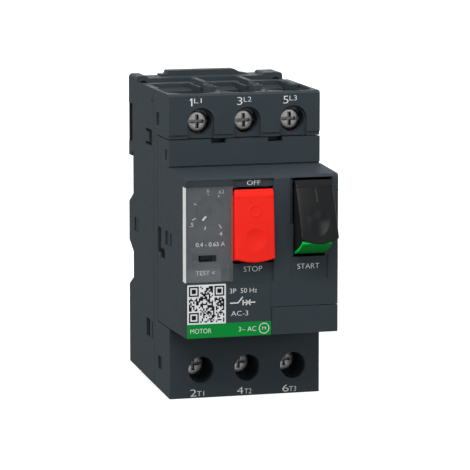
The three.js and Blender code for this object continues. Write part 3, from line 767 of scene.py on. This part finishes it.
def setting_dial(material, ink):
    """Disc with a raised rim and a cross slot, its shaft and cam; a white pointer rides on it."""
    low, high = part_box("setting_dial")
    turn_axis = Vector(JOINTS["dial_turn"]["pos_m"])
    shaft, cam, end = 2.2, 3.4, (high.y - low.y) / MM - 0.05
    outline = [(0, 0.35), (1.5, 0.35), (1.62, 0.1), (2.9, 0.1), (3.05, 0.3), (3.6, 0.3), (3.72, 0.02)]
    outline += [(3.93, 0.02), (3.99, 0.12), (3.99, 1.9), (3.9, 1.98), (shaft, 1.98)]
    outline += [(shaft, 9), (cam, 9), (cam, end), (0, end)]
    verts, faces = lathe([(r * MM, y * MM) for r, y in outline], 72)
    dial = new_object("current_dial", verts, faces, material, smooth=True)
    slot = slab((-1.35, 1.35), (-1, 1.3), (-0.3, 0.3), 0.05)
    carve(dial, [slot + (0,), slot + (math.pi / 2,)])
    dial.data.shade_smooth()
    dial.data.set_sharp_from_angle(angle=math.radians(35))
    dial.location = (turn_axis.x, low.y, turn_axis.z)
    as_piece(dial, "dial", ["setting_dial"])
    pointing = Matrix.Rotation(math.radians(227), 4, "Z")  # down to the left, at rest
    place = on_front(turn_axis.x, low.y + 0.02 * MM, turn_axis.z) @ pointing
    pointer = joined("dial_pointer", [(bar(2.0, 0, 3.6, 0, 0.55), place)], ink)
    as_piece(pointer, "dial")


# ---------------------------------------------------------------- details of the mouldings
def block(x, y, z):
    """A box as (mesh, matrix), from its spans in millimetres, with heights above the underside."""
    verts, faces = slab([min(x), max(x)], y, z)
    return new_mesh("block", verts, faces), Matrix.Translation((0, 0, BOTTOM))


def prism(outline, x):
    """A side profile of (y, z) in millimetres, drawn out along X, as (mesh, matrix)."""
    verts = [(side * MM, y * MM, z * MM) for side in x for y, z in outline]
    n = len(outline)
    faces = [tuple(range(n)), tuple(range(2 * n - 1, n - 1, -1))]
    faces += [(i + n, (i + 1) % n + n, (i + 1) % n, i) for i in range(n)]
    return new_mesh("prism", verts, faces), Matrix.Translation((0, 0, BOTTOM))


def snap_window_shade(material):
    """Near-black sheets on the floors of the snap windows in the side walls, painted shade for the dark inside
    seen through them.
    """
    gap, thickness = 0.02, 0.28
    floors = [  # depth under the side wall, then the spans along Y and Z
        (1.0, (-27.9, -24.7), (71.4, 75.9)),
        (1.0, (-24.7, -20.9), (71.4, 72.1)),
        (1.0, (-24.7, -20.9), (75.2, 75.9)),
        (0.7, (-28.9, -28.1), (84.1, 85.3)),
        (1.0, (-28.3, -25.7), (14.3, 19.5)),
        (1.0, (-22.9, -20.9), (14.3, 19.5)),
        (0.9, (-11.7, -9.5), (43.5, 47.5)),
        (0.7, (-38.5, -36.2), (6.9, 10.6)),
        (1.2, (-38.5, -35.1), (44.7, 48.7)),
        (1.2, (-50.5, -47.1), (44.9, 48.7)),
        (0.8, (-38.1, -35.1), (41.5, 44.6)),
        (1.0, (-42.9, -38.3), (40.3, 42.9)),
        (1.2, (-45.3, -43.9), (69.4, 72.3)),
    ]
    pieces = []
    for side in (-1, 1):
        for depth, y, z in floors:
            x = HALF_WIDTH - depth + gap
            pieces.append(block((side * x, side * (x + thickness)), y, z))
    return as_piece(joined("snap_window_shade", pieces, material), "housing")


def webs(material):
    """Thin walls that close the rear corner pockets and the seams between the mouldings."""
    pocket = ((19.7, 22.42), (-0.8, -0.06), (69.6, 81.6))
    behind_terminals = ((21.3, 22.2), (-30.28, -30.02), (1.3, 88))
    behind_front = ((21.3, 22.2), (-34.28, -34.02), (21.1, 75.1))
    pieces = []
    for side in (-1, 1):
        for x, y, z in (pocket, behind_terminals, behind_front):
            pieces.append(block((side * x[0], side * x[1]), y, z))
    return as_piece(joined("moulding_webs", pieces, material), "housing")


def top_ribs(material):
    """Stiffening ribs between the wire wells, with collars round the posts in front of them."""
    foot, crest, hole = 88.2, 89.25, 0.86
    section = [(hole, foot), (1.5, foot), (1.5, 89.1), (1.35, crest), (0.95, crest), (hole, 89.15)]
    rib = [(-12.3, 88), (-12.3, 89.1), (-13, 89.5), (-26, 89.5), (-27.5, 89), (-28.6, 89), (-28.6, 88)]
    pieces = []
    for i in (0, 1):
        wall = (POLES[i] + POLES[i + 1]) / 2 / MM
        pieces.append(prism(rib, (wall - 0.5, wall + 1)))
        pieces += [collar(section, (wall - 0.4, y)) for y in (-36, -31.8)]
    obj = joined("top_ribs", pieces, material)
    soften(obj, 0.15 * MM)
    return as_piece(obj, "housing")


def collar(outline, centre, segments=32):
    """A ring about an upright axis, from a closed outline of (radius, z) in millimetres."""
    verts = []
    for k in range(segments):
        a = 2 * math.pi * k / segments
        for r, z in outline:
            x, y = centre[0] + r * math.cos(a), centre[1] + r * math.sin(a)
            verts.append((x * MM, y * MM, z * MM))
    n = len(outline)
    faces = []
    for k in range(segments):
        j = (k + 1) % segments
        faces += [(k * n + i, j * n + i, j * n + (i + 1) % n, k * n + (i + 1) % n) for i in range(n)]
    return new_mesh("collar", verts, faces), Matrix.Translation((0, 0, BOTTOM))


# ---------------------------------------------------------------- printed marks
INK = 0.03  # thickness of the printed marks, in millimetres


def words(text, height, width, thinner=0.014):
    """A raised text as a mesh in its own plane, standing on the axis, of the given size in mm.

    thinner draws the strokes in from the font's own outline, or out if it is negative.
    """
    thickness = 0.2  # before it is scaled to the ink's
    curve = bpy.data.curves.new("text", "FONT")
    curve.body = text
    curve.extrude = thickness / 2
    curve.offset = -thinner
    curve.resolution_u = 4
    obj = bpy.data.objects.new("text", curve)
    bpy.context.scene.collection.objects.link(obj)
    graph = bpy.context.evaluated_depsgraph_get()
    mesh = bpy.data.meshes.new_from_object(obj.evaluated_get(graph), depsgraph=graph)
    bpy.data.objects.remove(obj)
    xs = [v.co.x for v in mesh.vertices]
    capital = 0.729  # height of the font's capitals at size 1
    wide, tall = width / (max(xs) - min(xs)) * MM, height / capital * MM
    for v in mesh.vertices:
        v.co.x = (v.co.x - (max(xs) + min(xs)) / 2) * wide
        v.co.y *= tall
        v.co.z *= INK / thickness * MM
    return mesh


def bar(x0, z0, x1, z1, width):
    """A flat stroke from one point to another, in the plane of the text, in millimetres."""
    along = Vector((x1 - x0, z1 - z0))
    side = Vector((-along.y, along.x)).normalized() * width / 2
    start, end = Vector((x0, z0)), Vector((x1, z1))
    corners = [start - side, end - side, end + side, start + side]
    verts = [(c.x * MM, c.y * MM, h * MM) for h in (-INK / 2, INK / 2) for c in corners]
    faces = [(3, 2, 1, 0), (4, 5, 6, 7)]
    faces += [(i, (i + 1) % 4, (i + 1) % 4 + 4, i + 4) for i in range(4)]
    return new_mesh("bar", verts, faces)


def on_front(x, y, z):
    """Places something drawn in the text plane on a wall that faces the front."""
    return Matrix.Translation((x, y - INK / 2 * MM, z)) @ Matrix.Rotation(math.pi / 2, 4, "X")


def marks(name, items, y, material, strokes=(), thinner=0.014):
    """A print on the wall at Y = y; its sizes and places are in millimetres.

    items are texts (text, middle x, foot z, height, width); strokes are (x0, z0, x1, z1, width).
    """
    meshes = [(words(t, h, w, thinner), on_front(x * MM, y, up(z))) for t, x, z, h, w in items]
    meshes += [(bar(*stroke), on_front(0, y, up(0))) for stroke in strokes]
    return as_piece(joined(name, meshes, material), "housing")


def terminal_numbers(ink):
    """The numbers of the terminals, each with a smaller L or T and the number of its pole."""
    offsets = [  # from the middle of the pole: upper number and letter, lower number and letter
        (-2.75, -0.95, -2.48, -0.3),
        (-2.33, 0.0, -2.22, 0.17),
        (-2.36, -0.15, -2.25, -0.1),
    ]
    upper, lower = [], []
    for i, (pole, offset) in enumerate(zip(POLES, offsets)):
        line_x, line_letter_x, load_x, load_letter_x = (pole / MM + shift for shift in offset)
        figure_width = 0.35 if i == 0 else 1.55
        upper.append((str(2 * i + 1), line_x, 84.9, 2.4, figure_width))
        upper.append((f"L{i + 1}", line_letter_x, 85.75, 1.5, 2.2))
        lower.append((str(2 * i + 2), load_x, 0.5, 2.2, 1.9))
        lower.append((f"T{i + 1}", load_letter_x, 0.5, 1.6, 2.1))
    # the figure 1 is a narrow stem, so its flag is a stroke
    stem = POLES[0] / MM + offsets[0][0]
    flag = [(stem - 0.55, 86.55, stem, 87.15, 0.28)]
    marks("terminal_numbers_upper", upper, FACE, ink, flag)
    marks("terminal_numbers_lower", lower, FACE, ink)


def control_texts(ink):
    """The words round the push-buttons, on the two recessed panels behind them."""
    stop_panel, start_panel = FRONT + 0.7 * MM, FRONT + 0.3 * MM
    stop_words = [("OFF", -2.3, 64.05, 1.4, 3.9), ("STOP", -2.5, 39.3, 1.6, 5.4)]
    start_words = [("START", 13.8, 39.5, 1.6, 6.5)]
    marks("off_and_stop", stop_words, stop_panel, ink)
    marks("start_text", start_words, start_panel, ink)


def dial_scale(ink):
    """Scale round the dial, printed on the floor of the recess under the clear cover."""
    floor = FRONT + 3.2 * MM
    x, z = -14.35, 56.75  # middle of the dial
    ticks = [  # angle from the right, and the radii of its ends
        (97, 4.5, 5.0),
        (59, 4.5, 5.1),
        (155, 4.45, 5.3),
        (205, 4.6, 5.8),
        (253, 4.6, 5.6),
        (303, 4.7, 6.1),
    ]
    strokes = []
    for angle, near, far in ticks:
        c, s = math.cos(math.radians(angle)), math.sin(math.radians(angle))
        strokes.append((x + near * c, z + near * s, x + far * c, z + far * s, 0.26))
    items = [
        ("6", x - 0.65, z + 5.25, 1.15, 0.8),
        (".63", x + 3.1, z + 4.85, 1.15, 1.9),
        (".5", x - 5.5, z - 4.3, 1.15, 1.2),
        ("4", x + 3.1, z - 7.2, 1.2, 0.9),
        ("0.4 - 0.63 A", -14.3, 46.6, 1.2, 8.6),
        ("TEST <", -15.8, 38.4, 1.3, 5.6),
    ]
    marks("dial_scale", items, floor, ink, strokes, thinner=-0.012)


def random_code(white, black):
    """A square of random cells with three corner targets; it encodes nothing."""
    cells, x0, z0, size, margin = 25, -21.95, 24.95, 11.3, 0.45
    cell = (size - 2 * margin) / cells
    rng = random.Random(7)
    dark = {(i, j) for i in range(cells) for j in range(cells) if rng.random() < 0.5}
    near, far = 3, cells - 4  # middles of the targets
    for ci, cj in ((near, near), (near, far), (far, far)):
        for di in range(-4, 5):
            for dj in range(-4, 5):
                dark.discard((ci + di, cj + dj))
                if max(abs(di), abs(dj)) in (0, 1, 3):  # a dark middle and a dark ring
                    dark.add((ci + di, cj + dj))
    rows = []  # one stroke for each run of dark cells
    for j in range(cells):
        i = 0
        while i < cells:
            run = i
            while (run, j) in dark:
                run += 1
            if run > i:
                z = z0 + margin + (j + 0.5) * cell
                rows.append((x0 + margin + i * cell, z, x0 + margin + run * cell, z, cell))
            i = run + 1
    plate = [(x0, z0 + size / 2, x0 + size, z0 + size / 2, size)]
    marks("code_plate", [], FRONT, white, plate)
    marks("code_cells", [], FRONT - INK * MM, black, rows)


def rating_texts(ink, green):
    """Rating text, the symbol of a breaker, and the green strip with a motor's symbol."""
    line, z = 0.3, 30.6  # the symbol's stroke and height
    symbol = [
        (-9.45, z, -7.1, z, line),
        (-7.1, z - 0.05, -5.7, z + 1.65, line),
        (-5.6, z - 0.75, -5.6, z + 0.75, line),
        (-5.6, z, -2.0, z, line),
        (-4.8, z - 0.75, -3.4, z + 0.75, line),
        (-4.8, z + 0.75, -3.4, z - 0.75, line),
    ]
    items = [("3P  50 Hz", -5.5, 33.4, 1.45, 8.0), ("AC-3", -6.6, 26.9, 1.45, 5.0)]
    marks("rating_text", items, FRONT, ink, symbol)
    strip_z, motor_x = 22.95, 0.6
    marks("green_strip", [], FRONT, green, [(-22.1, strip_z, 2.7, strip_z, 4.0)])
    texts = [
        ("MOTOR", -18, 22.3, 1.45, 6.1),
        ("M", motor_x, 22.45, 1.0, 1.05),
        ("3~ AC", -4.3, 22.3, 1.45, 5.2),
    ]
    circle = circle_strokes((motor_x, strip_z), 1.45, 0.2)
    marks("green_strip_text", texts, FRONT - INK * MM, ink, circle)


def circle_strokes(centre, radius, width, count=24):
    """A circle as short strokes, for marks()."""
    corners = []
    for k in range(count + 1):
        a = 2 * math.pi * k / count
        corners.append((centre[0] + radius * math.cos(a), centre[1] + radius * math.sin(a)))
    return [a + b + (width,) for a, b in zip(corners, corners[1:])]


# ---------------------------------------------------------------- build
look_at_breaker()

housing = moulded_plastic("housing", (0.026, 0.034, 0.040), 0.62, specular=0.08)
inner = moulded_plastic("inner_plastic", (0.014, 0.016, 0.018), 0.55, specular=0.08)
red = gloss_plastic("stop_red", (0.65, 0.014, 0.008), 0.45, specular=0.07)
black = gloss_plastic("start_black", (0.007, 0.0075, 0.008), 0.34, edge_wear_and_highlight=0.8, specular=0.1)
# near-black sheets of painted shade in the snap windows
shadow = gloss_plastic("window_shade_black", (0.006, 0.006, 0.007), 0.6, edge_wear_and_highlight=0.0, specular=0.05)
green = gloss_plastic("indicator_green", (0.002, 0.3, 0.04), 0.42, specular=0.1)
dial_grey = moulded_plastic("dial_grey", (0.015, 0.018, 0.021), 0.5, specular=0.08)
clear = clear_plastic()
RECESS_SHADE = (0.2 * MM, 0.55 * MM)  # depths in a screw head, from its front, over which the metal is painted darker as shade
zinc = metal("zinc_steel", (0.36, 0.355, 0.34), 0.42)
# lit and shaded copies of one screw zinc: the line row's painted a little darker, the load row's painted much
# lighter, for how light falls on each row
screw_zinc = metal("screw_zinc", (0.31, 0.307, 0.3), 0.42, recess=RECESS_SHADE)
load_zinc_painted_light = metal("load_zinc_painted_light", (0.95, 0.94, 0.92), 0.6, recess=RECESS_SHADE)
steel = metal("steel", (0.45, 0.45, 0.46), 0.38, (1, 6, 1))
spring_steel = metal("spring_steel", (0.62, 0.63, 0.64), 0.25)
copper = metal("copper", (0.3, 0.15, 0.09), 0.4, (1, 1, 5))
white_ink = printed("white_ink", (0.6, 0.62, 0.63, 1))
bright_ink = printed("bright_ink", (1.0, 1.0, 1.0, 1))
black_ink = printed("black_ink", (0.006, 0.006, 0.007, 1))
green_film = printed("green_film", (0.0, 0.19, 0.028, 1))

studio()

MATERIALS = {
    "housing": housing,
    "inner_plastic": inner,
    "stop_red": red,
    "start_black": black,
    "indicator_green": green,
    "dial_grey": dial_grey,
    "clear_plastic": clear,
    "zinc_steel": zinc,
    "steel": steel,
    "spring_steel": spring_steel,
    "copper": copper,
    "label": housing,
}
RADII = {"housing": 0.22, "clear_plastic": 0.15}  # edge radii in millimetres
OTHER_RADIUS = 0.1
COILS = ("spring", "winding")  # round wire, which has no edges
REPLACED = ("stop_button", "start_button", "setting_dial", "_screw_")
for part in frame["record"]["subparts"]:
    if any(word in part["node"] for word in REPLACED):
        continue
    slot_name = part["material_slot"]
    is_coil = any(word in part["node"] for word in COILS)
    edge_radius = 0.0 if is_coil else RADII.get(slot_name, OTHER_RADIUS)
    finish_node(part["node"], MATERIALS[slot_name], edge_radius * MM)

stop_button(red)
start_button(black)
terminal_screws({"line": screw_zinc, "load": load_zinc_painted_light})
setting_dial(dial_grey, bright_ink)
snap_window_shade(shadow)
webs(inner)
top_ribs(housing)
terminal_numbers(white_ink)
control_texts(white_ink)
dial_scale(bright_ink)
random_code(white_ink, black_ink)
rating_texts(white_ink, green_film)


def plain(box):
    return [[float(v) for v in corner] for corner in box]
